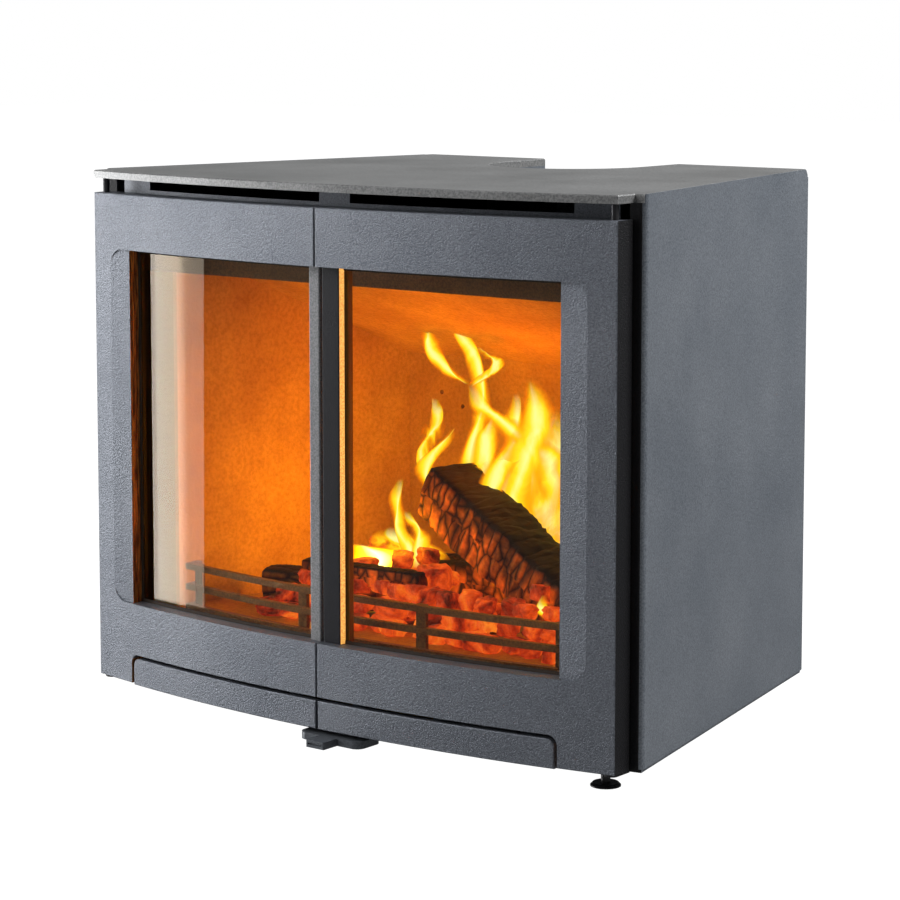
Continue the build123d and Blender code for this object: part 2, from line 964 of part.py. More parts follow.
# Flap with the outer top corner rounded, and the pin it turns on
flap_outline = rounded_cut(-overcut, flap_end, -overcut, flap_head, 0, flap_corner)
with BuildPart() as flap:
    add(bow_band(flap_start, front_half, 0, flap_wall, flap_foot, flap_head))
    add(flap_outline, mode=Mode.INTERSECT)
    chamfer(flap.faces().filter_by(GeomType.CYLINDER).sort_by(Axis.Y)[0].edges(), front_edge_break)
    for start in knuckle_starts[:-1]:
        knuckle_start = start + door_knuckle + fit_gap
        knuckle_x = (pin_near + pin_line * (knuckle_start + flap_knuckle / 2)).X
        add(pin_rod(knuckle_radius, knuckle_start, knuckle_start + flap_knuckle))
        add(
            bow_band(
                knuckle_x - flap_knuckle / 2 + knuckle_inset,
                knuckle_x + flap_knuckle / 2 - knuckle_inset,
                flap_wall - casting_lap, flap_pin_depth, flap_pin_z - knuckle_radius,
                flap_pin_z + knuckle_radius,
            )
        )
    add(
        pin_rod(flap_pin_radius + running_gap, -overcut, pin_length + overcut),
        mode=Mode.SUBTRACT,
    )
save_pair(flap.part, "flap")

with BuildPart() as flap_pin:
    add(pin_rod(flap_pin_radius, 0, pin_length))
save_pair(flap_pin.part, "flap_pin")

# Air lever: grooved tip, wide shield plate and a blade back to its pivot
lever_tip = door_line - lever_reach
blade_head = lever_foot + blade_wall
damper_foot = base_foot - damper_gap - sheet
with BuildPart() as air_lever:
    add(
        cuboid(
            lever_x - lever_tip_half, lever_x + lever_tip_half, lever_tip,
            door_line - lever_base_reach + overcut, lever_foot, lever_head,
        )
    )
    fillet(air_lever.edges().filter_by(Axis.Z).group_by(Axis.Y)[0], stile_round)
    add(
        cuboid(
            lever_x - lever_base_half, lever_x + lever_base_half,
            door_line - lever_base_reach, door_line, lever_foot, lever_head,
        )
    )
    fillet(
        air_lever.edges().filter_by(Axis.Z).group_by(Axis.X)[0]
        + air_lever.edges().filter_by(Axis.Z).group_by(Axis.X)[-1],
        bush_radius,
    )
    with BuildSketch(Plane.XZ.offset(-lever_tip)):
        with Locations((lever_x, (lever_foot + lever_head) / 2)):
            Rectangle(2 * lever_tip_half - overcut, tip_groove)
    extrude(amount=-tip_groove, mode=Mode.SUBTRACT)
    add(
        cuboid(
            lever_x - lever_tip_half, lever_x + lever_tip_half, door_line - overcut,
            lever_pivot_y, lever_foot, damper_foot,
        )
    )
    add(upright(lever_x, lever_pivot_y, lever_tip_half, lever_foot, damper_foot))
    add(
        upright(
            lever_x, lever_pivot_y, lever_pivot_radius + running_gap,
            lever_foot - overcut, height,
        ),
        mode=Mode.SUBTRACT,
    )
save(air_lever.part, "air_lever")

with BuildPart() as damper_plate:
    add(upright(lever_x, lever_pivot_y, damper_radius, damper_foot, damper_foot + sheet))
    add(
        cuboid(
            lever_x - damper_radius, lever_x + damper_radius,
            lever_pivot_y - damper_radius, lever_pivot_y - lever_tip_half,
            damper_foot - overcut, height,
        ),
        mode=Mode.SUBTRACT,
    )
    with BuildSketch(Plane.XY.offset(damper_foot)):
        with Locations((lever_x - inlet_half, inlet_y)):
            SlotOverall(inlet_half, inlet_width, rotation=90)
    extrude(amount=sheet, mode=Mode.SUBTRACT)
    add(
        upright(
            lever_x, lever_pivot_y, lever_pivot_radius + running_gap,
            damper_foot - overcut, height,
        ),
        mode=Mode.SUBTRACT,
    )
save(damper_plate.part, "damper_plate")

with BuildPart() as lever_pivot:
    add(upright(lever_x, lever_pivot_y, lever_pivot_radius, lever_foot - sheet, base_foot))
    add(
        upright(
            lever_x, lever_pivot_y, lever_tip_half - sheet,
            lever_foot - sheet - fit_gap, lever_foot - fit_gap,
        )
    )
save(lever_pivot.part, "lever_pivot")

# Levelling feet: a shallow cone pad on a threaded stem
for foot_name, (foot_x, foot_y) in foot_places.items():
    with BuildPart() as foot:
        add(upright(foot_x, foot_y, foot_pad_radius, 0, foot_pad_wall))
        chamfer(foot.faces().sort_by(Axis.Z)[-1].edges(), foot_cone)
        add(upright(foot_x, foot_y, foot_stem_radius, foot_pad_wall, foot_stem_head))
    save(foot.part, f"foot_{foot_name}")
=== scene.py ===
import json
import math
import random

import bmesh
import bpy
from mathutils import Matrix, Vector, noise


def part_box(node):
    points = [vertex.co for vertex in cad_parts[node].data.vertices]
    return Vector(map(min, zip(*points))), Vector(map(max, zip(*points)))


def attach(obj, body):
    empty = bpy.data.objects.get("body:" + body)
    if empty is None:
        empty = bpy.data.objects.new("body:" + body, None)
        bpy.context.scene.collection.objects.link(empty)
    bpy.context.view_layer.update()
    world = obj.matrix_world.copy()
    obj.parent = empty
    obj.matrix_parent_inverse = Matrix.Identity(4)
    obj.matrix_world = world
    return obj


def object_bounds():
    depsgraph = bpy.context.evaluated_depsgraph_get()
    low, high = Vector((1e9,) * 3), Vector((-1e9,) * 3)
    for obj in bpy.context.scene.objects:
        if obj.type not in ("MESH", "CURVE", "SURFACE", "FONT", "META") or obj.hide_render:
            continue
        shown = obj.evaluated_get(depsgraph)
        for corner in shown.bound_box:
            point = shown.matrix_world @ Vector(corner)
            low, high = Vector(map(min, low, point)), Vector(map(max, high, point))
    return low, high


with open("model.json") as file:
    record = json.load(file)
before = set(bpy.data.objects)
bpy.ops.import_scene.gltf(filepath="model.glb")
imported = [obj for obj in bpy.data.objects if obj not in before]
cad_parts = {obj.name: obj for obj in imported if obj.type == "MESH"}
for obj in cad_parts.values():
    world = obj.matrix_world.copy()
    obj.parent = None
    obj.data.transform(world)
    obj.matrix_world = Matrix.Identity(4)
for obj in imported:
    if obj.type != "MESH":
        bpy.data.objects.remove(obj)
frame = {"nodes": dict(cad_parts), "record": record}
cad_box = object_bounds()
nodes = frame["nodes"]

# Camera, found by fitting the corners of the casing and doors in the photograph
IMAGE_WIDTH = 900.0
FOCAL_PIXELS = 2826.4
SENSOR = 36.0
CAMERA_PLACE = Vector((1.5517, -2.0183, 0.6349))
CAMERA_AZIMUTH = math.radians(37.866)
CAMERA_PITCH = math.radians(6.198)
CAMERA_SHIFT = -0.15

# Soft boxes: place, size, watts
SOFT_BOXES = {
    "key_left": ((-2.87, -1.20, 0.7), (1.5, 3.4), 125.0),
    "fill_right": ((1.45, 0.95, 2.0), (1.0, 1.0), 84.0),
    "fill_front": ((-1.5, -2.8, 2.6), (1.6, 1.6), 45.0),
}

# Lamps hidden in the fire: place, watts, colour
FIRE_LAMPS = {
    "fire_low": ((-0.080, -0.02, 0.150), 1.0, (1.0, 0.42, 0.0)),
    "fire_high": ((0.03, 0.02, 0.235), 1.0, (1.0, 0.22, 0.0)),
}
FIRE_LAMP_RADIUS = 0.03

# Stage
WORLD_LEVEL = 0.22
WHITE_LEVEL = 1.0
FLOOR_HALF = 12.0
FLOOR_GREY = (0.40, 0.40, 0.40)
FLOOR_ROUGHNESS = 0.7
FLOOR_SEEN_SHARE = 0.80
FLOOR_SEEN_LEVEL = 1.3
CARD_EDGE = Vector((-0.50, -0.43, 0.0))
CARD_SPAN = Vector((-0.25, 0.33, 0.0))
CARD_FOOT = -0.3
CARD_HEAD = 0.75
CARD_LEVEL = 18.0
CARD_FADE = [
    (0.0, (0.02, 0.01, 0.004)),
    (0.07, (0.10, 0.06, 0.03)),
    (0.11, (0.9, 0.70, 0.50)),
    (0.24, (0.9, 0.80, 0.68)),
]

# Colours, linear: the dark and the light of each mottle
CAST = ((0.15, 0.165, 0.195), (0.20, 0.215, 0.245))
CASING = ((0.135, 0.152, 0.175), (0.175, 0.192, 0.215))
PLATE = ((0.21, 0.212, 0.21), (0.31, 0.312, 0.31))
BLACK = ((0.006, 0.006, 0.007), (0.014, 0.014, 0.016))
# One stile steel in two copies: painted lit on the grey stile, painted in shade on the black
# stile
LIT_STILE_STEEL = ((0.27, 0.272, 0.28), (0.31, 0.312, 0.32))
SHADED_STILE_STEEL = ((0.004, 0.004, 0.007), (0.007, 0.007, 0.012))
# Painted reflection of the fire's glow, put on the stile flanks toward the panes
PAINTED_FIRE_GLINT = ((0.62, 0.36, 0.11), (0.98, 0.66, 0.26))
# Painted firelight on the walls inside the door windows
PAINTED_FIRELIGHT_WALL = ((0.14, 0.05, 0.018), (0.70, 0.27, 0.06))
CLAMP = ((0.22, 0.11, 0.03), (0.50, 0.28, 0.09))
PIN = ((0.03, 0.03, 0.033), (0.09, 0.09, 0.095))
LEVER = ((0.09, 0.10, 0.115), (0.14, 0.152, 0.17))
# Vermiculite with painted firelight: orange where the bare board is pale beige
FIRELIT_BRICK = ((0.52, 0.28, 0.04), (0.76, 0.47, 0.08))
HEARTH = ((0.13, 0.065, 0.030), (0.30, 0.15, 0.055))
SEAL = ((0.02, 0.012, 0.008), (0.055, 0.035, 0.022))
ROPE = ((0.12, 0.12, 0.118), (0.34, 0.33, 0.31))
GLASS = ((0.97, 0.87, 0.70), (0.99, 0.90, 0.75))
SPLIT_WOOD = ((0.16, 0.035, 0.004), (0.50, 0.13, 0.012))
BARK = ((0.10, 0.045, 0.006), (0.34, 0.17, 0.02))
COAL_ASH = ((0.03, 0.012, 0.008), (0.22, 0.10, 0.06))
CHAR = (0.008, 0.005, 0.004)
# Tint of the painted firelight that the stile flanks emit
PAINTED_FIRELIGHT_TINT = (1.0, 0.72, 0.40)
CRACK_GLOW = (1.0, 0.13, 0.008)
WHITE = (1.0, 1.0, 1.0)
UNLIT = (0.0, 0.0, 0.0)


# Node materials


class Nodes:
    """A small helper for writing a node material."""

    def __init__(self, name):
        self.material = bpy.data.materials.new(name)
        self.material.use_nodes = True
        self.tree = self.material.node_tree
        self.shader = self.tree.nodes["Principled BSDF"]
        self.output = self.tree.nodes["Material Output"]
        self.place = self.add("ShaderNodeTexCoord").outputs["Object"]

    def add(self, kind, **values):
        node = self.tree.nodes.new(kind)
        for key, value in values.items():
            setattr(node, key, value)
        return node

    def join(self, a, b):
        self.tree.links.new(a, b)

    def set(self, **values):
        """Sets shader sockets, named with an underscore for each space."""
        for key, value in values.items():
            self.shader.inputs[key.replace("_", " ")].default_value = value

    def stretched(self, scale, source=None):
        mapping = self.add("ShaderNodeMapping")
        mapping.inputs["Scale"].default_value = scale
        self.join(source or self.place, mapping.inputs["Vector"])
        return mapping.outputs["Vector"]

    def split(self, vector):
        node = self.add("ShaderNodeSeparateXYZ")
        self.join(vector, node.inputs["Vector"])
        return node.outputs

    def noise(self, scale, detail=3.0, rough=0.5, vector=None, distortion=0.0):
        node = self.add("ShaderNodeTexNoise")
        node.inputs["Scale"].default_value = scale
        node.inputs["Detail"].default_value = detail
        node.inputs["Roughness"].default_value = rough
        node.inputs["Distortion"].default_value = distortion
        self.join(vector or self.place, node.inputs["Vector"])
        return node.outputs["Fac"]

    def ramp(self, factor, stops):
        node = self.add("ShaderNodeValToRGB")
        elements = node.color_ramp.elements
        while len(elements) < len(stops):
            elements.new(0.5)
        for element, (position, colour) in zip(elements, stops):
            element.position = position
            element.color = (*colour, 1.0)
        self.join(factor, node.inputs["Fac"])
        return node.outputs["Color"]

    def mixed(self, factor, a, b, blend="MIX"):
        node = self.add("ShaderNodeMix", data_type="RGBA", blend_type=blend)
        for socket, value in ((node.inputs["A"], a), (node.inputs["B"], b)):
            if isinstance(value, tuple):
                socket.default_value = (*value, 1.0)
            else:
                self.join(value, socket)
        if isinstance(factor, float):
            node.inputs["Factor"].default_value = factor
        else:
            self.join(factor, node.inputs["Factor"])
        return node.outputs["Result"]

    def times(self, a, b):
        return self.mixed(1.0, a, b, "MULTIPLY")

    def span(self, factor, low=0.0, high=1.0, start=0.0, end=1.0):
        """Maps start..end of a factor to low..high."""
        node = self.add("ShaderNodeMapRange")
        node.inputs["From Min"].default_value = start
        node.inputs["From Max"].default_value = end
        node.inputs["To Min"].default_value = low
        node.inputs["To Max"].default_value = high
        self.join(factor, node.inputs["Value"])
        return node.outputs["Result"]

    def bump(self, heights):
        """Chains bumps given as (height socket, strength, distance in metres)."""
        normal = None
        for height, strength, distance in heights:
            node = self.add("ShaderNodeBump")
            node.inputs["Strength"].default_value = strength
            node.inputs["Distance"].default_value = distance
            self.join(height, node.inputs["Height"])
            if normal:
                self.join(normal, node.inputs["Normal"])
            normal = node.outputs["Normal"]
        self.join(normal, self.shader.inputs["Normal"])

    def colour_by(self, socket):
        self.join(socket, self.shader.inputs["Base Color"])

    def show_mix(self, factor, first, second):
        """Shows a mix of two shaders."""
        mix = self.add("ShaderNodeMixShader")
        self.join(factor, mix.inputs["Fac"])
        self.join(first, mix.inputs[1])
        self.join(second, mix.inputs[2])
        self.join(mix.outputs["Shader"], self.output.inputs["Surface"])


def math_node(tree, operation, a, b=0.0):
    """One arithmetic step on sockets or numbers."""
    node = tree.nodes.new("ShaderNodeMath")
    node.operation = operation
    for socket, value in zip(node.inputs, (a, b)):
        if isinstance(value, float):
            socket.default_value = value
        else:
            tree.links.new(value, socket)
    return node.outputs["Value"]


def facing(made, axis, toward):
    """A mask for faces that look along an axis of the object."""
    flat_on = 0.9
    normal = made.split(made.add("ShaderNodeTexCoord").outputs["Normal"])
    aligned = math_node(made.tree, "MULTIPLY", normal[axis], float(toward))
    return math_node(made.tree, "GREATER_THAN", aligned, flat_on)


def painted(name, colours, roughness, grain_scale, grain_depth, flake=0.0, specular=0.5):
    """Stove paint over sheet or casting, with a soft mottle, a fine grain and metal flake."""
    made = Nodes(name)
    dark, light = colours
    fleck_shade = (0.45, 0.46, 0.48)
    mottle = made.noise(scale=9.0, detail=4.0, rough=0.55)
    speckle = made.noise(grain_scale, detail=2.0, rough=0.65)
    body = made.ramp(mottle, [(0.3, dark), (0.7, light)])
    fleck = made.ramp(speckle, [(0.36, fleck_shade), (0.62, WHITE)])
    made.colour = made.mixed(0.75, body, fleck, "MULTIPLY")
    made.colour_by(made.colour)
    made.join(
        made.span(speckle, low=roughness - 0.08, high=roughness + 0.1),
        made.shader.inputs["Roughness"],
    )
    made.set(Metallic=flake, Specular_IOR_Level=specular)
    made.bump([(mottle, 0.1, 0.0006), (speckle, 0.8, grain_depth)])
    return made


def flank_paint(name, colours, flank_colours, axis, toward, roughness, flake, glow=0.0):
    """Paint whose faces along one axis carry another colour, which is painted shade on the
    casing and painted firelight on the stiles; glow adds painted firelight as emission on those
    faces.
    """
    made = painted(name, colours, roughness, grain_scale=640.0, grain_depth=0.0003, flake=flake,
                   specular=0.25)
    flank_dark, flank_light = flank_colours
    grain = made.noise(scale=900.0, detail=2.0, rough=0.6)
    flank = made.ramp(grain, [(0.35, flank_dark), (0.65, flank_light)])
    mask = facing(made, axis, toward)
    made.colour_by(made.mixed(mask, made.colour, flank))
    # Painted firelight: the flank colour, in the fire's tint, is emitted though the part is no
    # lamp
    if glow:
        shine = made.times(made.mixed(mask, UNLIT, flank), PAINTED_FIRELIGHT_TINT)
        made.join(shine, made.shader.inputs["Emission Color"])
        made.set(Emission_Strength=glow)
    return made.material


def door_paint(name):
    """Cast grey paint, with painted shade in black on the outer flanks and painted firelight in
    brown to orange streaks on the walls inside the window.
    """
    made = painted(name, CAST, roughness=0.42, grain_scale=720.0, grain_depth=0.0009, flake=0.52)
    outer_reach = 0.27
    inner_reach = -0.2
    wall_dark, wall_light = PAINTED_FIRELIGHT_WALL
    place = made.split(made.place)
    normal = made.split(made.add("ShaderNodeTexCoord").outputs["Normal"])
    outward = math_node(made.tree, "MULTIPLY", place["X"], normal["X"])
    outer = math_node(made.tree, "GREATER_THAN", outward, outer_reach)
    inner = math_node(made.tree, "LESS_THAN", outward, inner_reach)
    # Walls facing into the window: painted firelight in brown to orange streaks
    streak = made.noise(60.0, detail=4.0, rough=0.6, vector=made.stretched((9.0, 9.0, 0.6)))
    wall = made.ramp(streak, [(0.42, wall_dark), (0.62, wall_light)])
    # Outer flanks: painted shade, black in place of the cast grey
    outside = made.mixed(outer, made.colour, BLACK[1])
    made.colour_by(made.mixed(inner, outside, wall))
    return made.material


def brushed(name, colours, roughness):
    """Ground or drawn steel with fine upright streaks."""
    made = Nodes(name)
    dark, light = colours
    cloud_shade = (0.75, 0.75, 0.75)
    streaks = made.noise(220.0, detail=3.0, rough=0.6, vector=made.stretched((1.0, 1.0, 0.05)))
    cloud = made.noise(scale=30.0)
    streak_colour = made.ramp(streaks, [(0.3, dark), (0.7, light)])
    shade = made.ramp(cloud, [(0.3, cloud_shade), (0.7, WHITE)])
    made.colour_by(made.mixed(0.6, streak_colour, shade, "MULTIPLY"))
    made.join(
        made.span(streaks, low=roughness - 0.05, high=roughness + 0.1),
        made.shader.inputs["Roughness"],
    )
    made.set(Metallic=0.85)
    made.bump([(streaks, 0.15, 0.0001)])
    return made.material


def firebrick(name):
    """Pressed vermiculite board, orange with painted firelight, dull, with flecks and faint
    scorch.
    """
    made = Nodes(name)
    dark, light = FIRELIT_BRICK
    fleck_shade = (0.62, 0.55, 0.45)
    soot_shade = (0.85, 0.78, 0.70)
    cloud = made.noise(scale=14.0, detail=5.0, rough=0.6)
    flecks = made.noise(scale=260.0, detail=2.0, rough=0.7)
    scorch = made.noise(scale=5.0)
    body = made.ramp(cloud, [(0.28, dark), (0.72, light)])
    fleck = made.ramp(flecks, [(0.3, fleck_shade), (0.6, WHITE)])
    soot = made.ramp(scorch, [(0.32, soot_shade), (0.6, WHITE)])
    flecked = made.mixed(0.6, body, fleck, "MULTIPLY")
    made.colour_by(made.mixed(0.5, flecked, soot, "MULTIPLY"))
    made.set(Roughness=0.92, Specular_IOR_Level=0.2)
    made.bump([(cloud, 0.15, 0.001), (flecks, 0.5, 0.0006)])
    return made.material


def fibre(name, colours, scale):
    """Woven or pressed sealing fibre."""
    made = Nodes(name)
    dark, light = colours
    weave = made.add("ShaderNodeTexWave", wave_type="BANDS", bands_direction="DIAGONAL")
    weave.inputs["Scale"].default_value = scale
    weave.inputs["Distortion"].default_value = 4.0
    weave.inputs["Detail"].default_value = 3.0
    made.join(made.place, weave.inputs["Vector"])
    made.colour_by(made.ramp(weave.outputs["Fac"], [(0.2, dark), (0.8, light)]))
    made.set(Roughness=0.9)
    made.bump([(weave.outputs["Fac"], 0.5, 0.0005)])
    return made.material


def clear_glass(name):
    """Thin heat-proof glass with a slight warm tint and the faintest waviness."""
    made = Nodes(name)
    tint, clear = GLASS
    waves = made.noise(scale=7.0, detail=2.0)
    made.colour_by(made.ramp(waves, [(0.3, tint), (0.7, clear)]))
    made.set(Transmission_Weight=1.0, IOR=1.24, Roughness=0.0)
    made.bump([(waves, 0.02, 0.0005)])
    return made.material


def burning_wood(name, colours, slab_scale, glow):
    """Charred wood: black above, split into glowing slabs on the side toward the coals."""
    made = Nodes(name)
    dark, light = colours
    gap_shade = (0.02, 0.02, 0.02)
    normal = made.split(made.add("ShaderNodeNewGeometry").outputs["Normal"])
    skyward = made.span(normal["Z"], start=0.05, end=0.55)
    slabs = made.add("ShaderNodeTexVoronoi", feature="DISTANCE_TO_EDGE")
    slabs.inputs["Randomness"].default_value = 0.85
    slabs.inputs["Scale"].default_value = 1.0
    unrolled = made.add("ShaderNodeTexCoord").outputs["UV"]
    made.join(made.stretched(slab_scale, unrolled), slabs.inputs["Vector"])
    distance = slabs.outputs["Distance"]
    grain = made.noise(scale=190.0, rough=0.6)
    cloud = made.noise(scale=22.0, rough=0.6, distortion=0.5)
    wood = made.ramp(grain, [(0.3, dark), (0.7, light)])
    gap = made.ramp(distance, [(0.0, gap_shade), (0.2, WHITE)])
    made.colour_by(made.mixed(skyward, made.times(wood, gap), CHAR))
    heat = made.ramp(cloud, [(0.40, UNLIT), (0.70, WHITE)])
    under = made.mixed(skyward, WHITE, UNLIT)
    shine = made.times(made.times(heat, gap), under)
    made.join(made.times(shine, CRACK_GLOW), made.shader.inputs["Emission Color"])
    made.set(Emission_Strength=glow, Roughness=0.8)
    made.bump([(distance, 1.0, 0.004), (grain, 0.4, 0.001)])
    return made.material


def hot_coal(name):
    """Charcoal glowing red to orange under a thin grey ash."""
    made = Nodes(name)
    dark, light = COAL_ASH
    cloud = made.noise(scale=38.0, detail=4.0, rough=0.6, distortion=0.8)
    grain = made.noise(scale=240.0, rough=0.6)
    made.colour_by(made.ramp(grain, [(0.35, dark), (0.75, light)]))
    heat = made.ramp(
        cloud,
        [
            (0.34, (0.03, 0.001, 0.0)),
            (0.46, (0.40, 0.022, 0.002)),
            (0.57, (0.80, 0.085, 0.006)),
            (0.72, (1.0, 0.26, 0.02)),
        ],
    )
    made.join(heat, made.shader.inputs["Emission Color"])
    made.set(Emission_Strength=0.9, Roughness=0.9)
    made.bump([(cloud, 0.8, 0.004), (grain, 0.5, 0.001)])
    return made.material


def flame_material(name, wisp_scale, wisp_share, strength):
    """Flame: a bright yellow core that fades through orange to clear at its edges."""
    made = Nodes(name)
    ribbon = made.split(made.add("ShaderNodeTexCoord").outputs["UV"])
    across = math_node(made.tree, "MULTIPLY", ribbon["X"], 2.0)
    edge = math_node(made.tree, "ABSOLUTE", math_node(made.tree, "SUBTRACT", across, 1.0))
    core = math_node(made.tree, "SUBTRACT", 1.0, edge)
    wisps = made.noise(
        wisp_scale, vector=made.stretched((1.0, 1.0, 0.45)), distortion=1.4
    )
    wobble = math_node(
        made.tree, "MULTIPLY", math_node(made.tree, "SUBTRACT", wisps, 0.5), wisp_share
    )
    heat = math_node(made.tree, "ADD", core, wobble)
    colour = made.ramp(
        heat,
        [
            (0.15, (1.0, 0.20, 0.0)),
            (0.42, (1.0, 0.42, 0.0)),
            (0.70, (1.0, 0.78, 0.02)),
            (1.0, (1.0, 0.98, 0.35)),
        ],
    )
    fade = made.ramp(ribbon["Y"], [(0.0, UNLIT), (0.12, WHITE), (0.75, WHITE), (1.0, UNLIT)])
    body = made.ramp(heat, [(0.10, UNLIT), (0.55, WHITE)])
    emission = made.add("ShaderNodeEmission")
    emission.inputs["Strength"].default_value = strength
    made.join(colour, emission.inputs["Color"])
    clear = made.add("ShaderNodeBsdfTransparent")
    made.tree.nodes.remove(made.shader)
    made.show_mix(made.times(fade, body), clear.outputs["BSDF"], emission.outputs["Emission"])
    return made.material


MATERIALS = {
    "plate_paint": painted("plate_paint", PLATE, 0.36, 520.0, 0.0003, flake=0.45).material,
    # The casing's faces that look to the front, its flange beside the doors, are painted shade:
    # black in place of the casing grey
    "casing_paint": flank_paint("casing_paint", CASING, BLACK, "Y", -1, 0.42, flake=0.2),
    "grille_paint": painted("grille_paint", CAST, 0.45, 700.0, 0.0002, flake=0.3).material,
    "ear_paint": painted("ear_paint", BLACK, 0.6, 400.0, 0.0001).material,
    "door_cast": door_paint("door_cast"),
    # The grey stile is painted lit and the black stile painted in shade; both are one steel
    "stile_grey": flank_paint("stile_grey", LIT_STILE_STEEL, PAINTED_FIRE_GLINT, "X", -1, 0.45, flake=0.2),
    # The black stile's flanks also emit this painted firelight
    "stile_black": flank_paint(
        "stile_black", SHADED_STILE_STEEL, PAINTED_FIRE_GLINT, "X", 1, 0.5, flake=0.0, glow=1.05
    ),
    "clamp_steel": brushed("clamp_steel", CLAMP, 0.5),
    "glass": clear_glass("glass"),
    "seal_fibre": fibre("seal_fibre", SEAL, 500.0),
    "rope_fibre": fibre("rope_fibre", ROPE, 420.0),
    "pin_steel": brushed("pin_steel", PIN, 0.4),
    "firebox_steel": painted("firebox_steel", BLACK, 0.6, 380.0, 0.0002).material,
    "firebrick": firebrick("firebrick"),
    "hearth_cast": painted("hearth_cast", HEARTH, 0.6, 480.0, 0.0005).material,
    "lever_steel": painted("lever_steel", LEVER, 0.4, 620.0, 0.0002, flake=0.3).material,
    "foot_steel": painted("foot_steel", BLACK, 0.35, 420.0, 0.0001).material,
}


def dress(node, material):
    """Gives every slot of a solid one material."""
    for slot in node.material_slots:
        slot.material = material


for part in frame["record"]["subparts"]:
    dress(nodes[part["node"]], MATERIALS[part["material_slot"]])
dress(nodes["air_lintel"], MATERIALS["hearth_cast"])

char_log = burning_wood("char_log", SPLIT_WOOD, (95.0, 34.0, 1.0), glow=0.8)
bark_log = burning_wood("bark_log", BARK, (30.0, 70.0, 1.0), glow=0.15)
coals = hot_coal("coals")
flame = flame_material("flame", 34.0, 0.7, 1.25)
flame_veil = flame_material("flame_veil", 42.0, 1.7, 1.15)
white_hot = flame_material("white_hot", 20.0, 0.2, 4.0)


# The fire: logs, embers and flames on the hearth

STOVE = "stove"
hearth_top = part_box("hearth_brick")[1].z


def fire_piece(name, work, material):
    """Makes a smooth piece of the fire that stands with the stove."""
    bmesh.ops.recalc_face_normals(work, faces=work.faces)
    mesh = bpy.data.meshes.new(name)
    work.to_mesh(mesh)
    work.free()
    made = bpy.data.objects.new(name, mesh)
    bpy.context.scene.collection.objects.link(made)
    mesh.materials.append(material)
    for polygon in mesh.polygons:
        polygon.use_smooth = True
    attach(made, STOVE)


LOG_SIDES = 40
LOG_RINGS = 60
LOG_SQUARENESS = 0.75
LOG_FILL = 0.86
LOG_LUMP_SCALE = 30.0
LOG_LUMP_SHARE = 0.10
LOG_RIDGE_SCALE = (2.0, 26.0)
LOG_RIDGE_SHARE = 0.12
LOG_END_SHARE = 0.9
LOG_END_DOME = 0.002


def log_reach(spot, angle, share, radius, seed):
    """How far the bark stands from the middle of the log."""
    squared = max(abs(math.cos(angle)), abs(math.sin(angle))) ** LOG_SQUARENESS
    lumps = noise.noise(spot * LOG_LUMP_SCALE + Vector((seed, 0, 0))) * LOG_LUMP_SHARE
    around, along = LOG_RIDGE_SCALE
    ridges = abs(noise.noise(Vector((angle * around, share * along, seed)))) * LOG_RIDGE_SHARE
    reach = radius * (LOG_FILL / squared + lumps - ridges)
    return reach * LOG_END_SHARE if share in (0, 1) else reach


def split_log(name, start, end, radius, seed, material):
    """A split log: a rough squared prism, with lengths along and around it as its UV."""
    axis = end - start
    length = axis.length
    axis.normalize()
    side = axis.cross(Vector((0, 0, 1))).normalized()
    top = side.cross(axis).normalized()
    work = bmesh.new()
    layer = work.loops.layers.uv.new("UVMap")
    loops = []
    for ring in range(LOG_RINGS + 1):
        share = ring / LOG_RINGS
        centre = start + (end - start) * share
        loop = []
        for corner in range(LOG_SIDES):
            angle = 2 * math.pi * corner / LOG_SIDES
            across = math.cos(angle) * side + math.sin(angle) * top
            reach = log_reach(centre + across * radius, angle, share, radius, seed)
            loop.append(work.verts.new(centre + across * reach))
        loops.append(loop)
    girth = 2 * math.pi * radius / LOG_SIDES
    for ring, (a, b) in enumerate(zip(loops, loops[1:])):
        for corner in range(LOG_SIDES):
            follow = (corner + 1) % LOG_SIDES
            face = work.faces.new((a[corner], a[follow], b[follow], b[corner]))
            places = (
                (ring, corner), (ring, corner + 1), (ring + 1, corner + 1), (ring + 1, corner)
            )
            for corner_loop, (row, column) in zip(face.loops, places):
                corner_loop[layer].uv = (row * length / LOG_RINGS, column * girth)
    for loop, place in (
        (loops[0], start - axis * LOG_END_DOME), (loops[-1], end + axis * LOG_END_DOME)
    ):
        middle = work.verts.new(place)
        for corner in range(LOG_SIDES):
            work.faces.new((loop[corner], loop[(corner + 1) % LOG_SIDES], middle))
    fire_piece(name, work, material)


# Logs: start, end, radius, material
LOGS = {
    "log_leaning": ((-0.036, 0.015, 0.196), (0.155, -0.030, 0.104), 0.032, char_log),
    "log_back": ((-0.12, 0.06, 0.098), (0.15, 0.075, 0.104), 0.024, char_log),
    "log_left": ((-0.185, -0.058, 0.098), (-0.06, -0.042, 0.102), 0.019, bark_log),
    "log_front": ((-0.13, -0.070, 0.122), (0.00, -0.060, 0.122), 0.011, char_log),
}
LOG_SEED_STEP = 4.0
for seed, (name, (start, end, radius, material)) in enumerate(LOGS.items()):
    split_log(name, Vector(start), Vector(end), radius, seed * LOG_SEED_STEP + 1.0, material)

EMBER_SQUARENESS = 0.95
EMBER_FILL = 0.78
EMBER_LUMP_SCALE = 1.6
EMBER_DENT_SCALE = 4.0
EMBER_ROUGH_SHARE = 0.16
EMBER_TILT_SHARE = 0.4
EMBER_SEED_STEPS = (3.1, 1.7, 2.3)


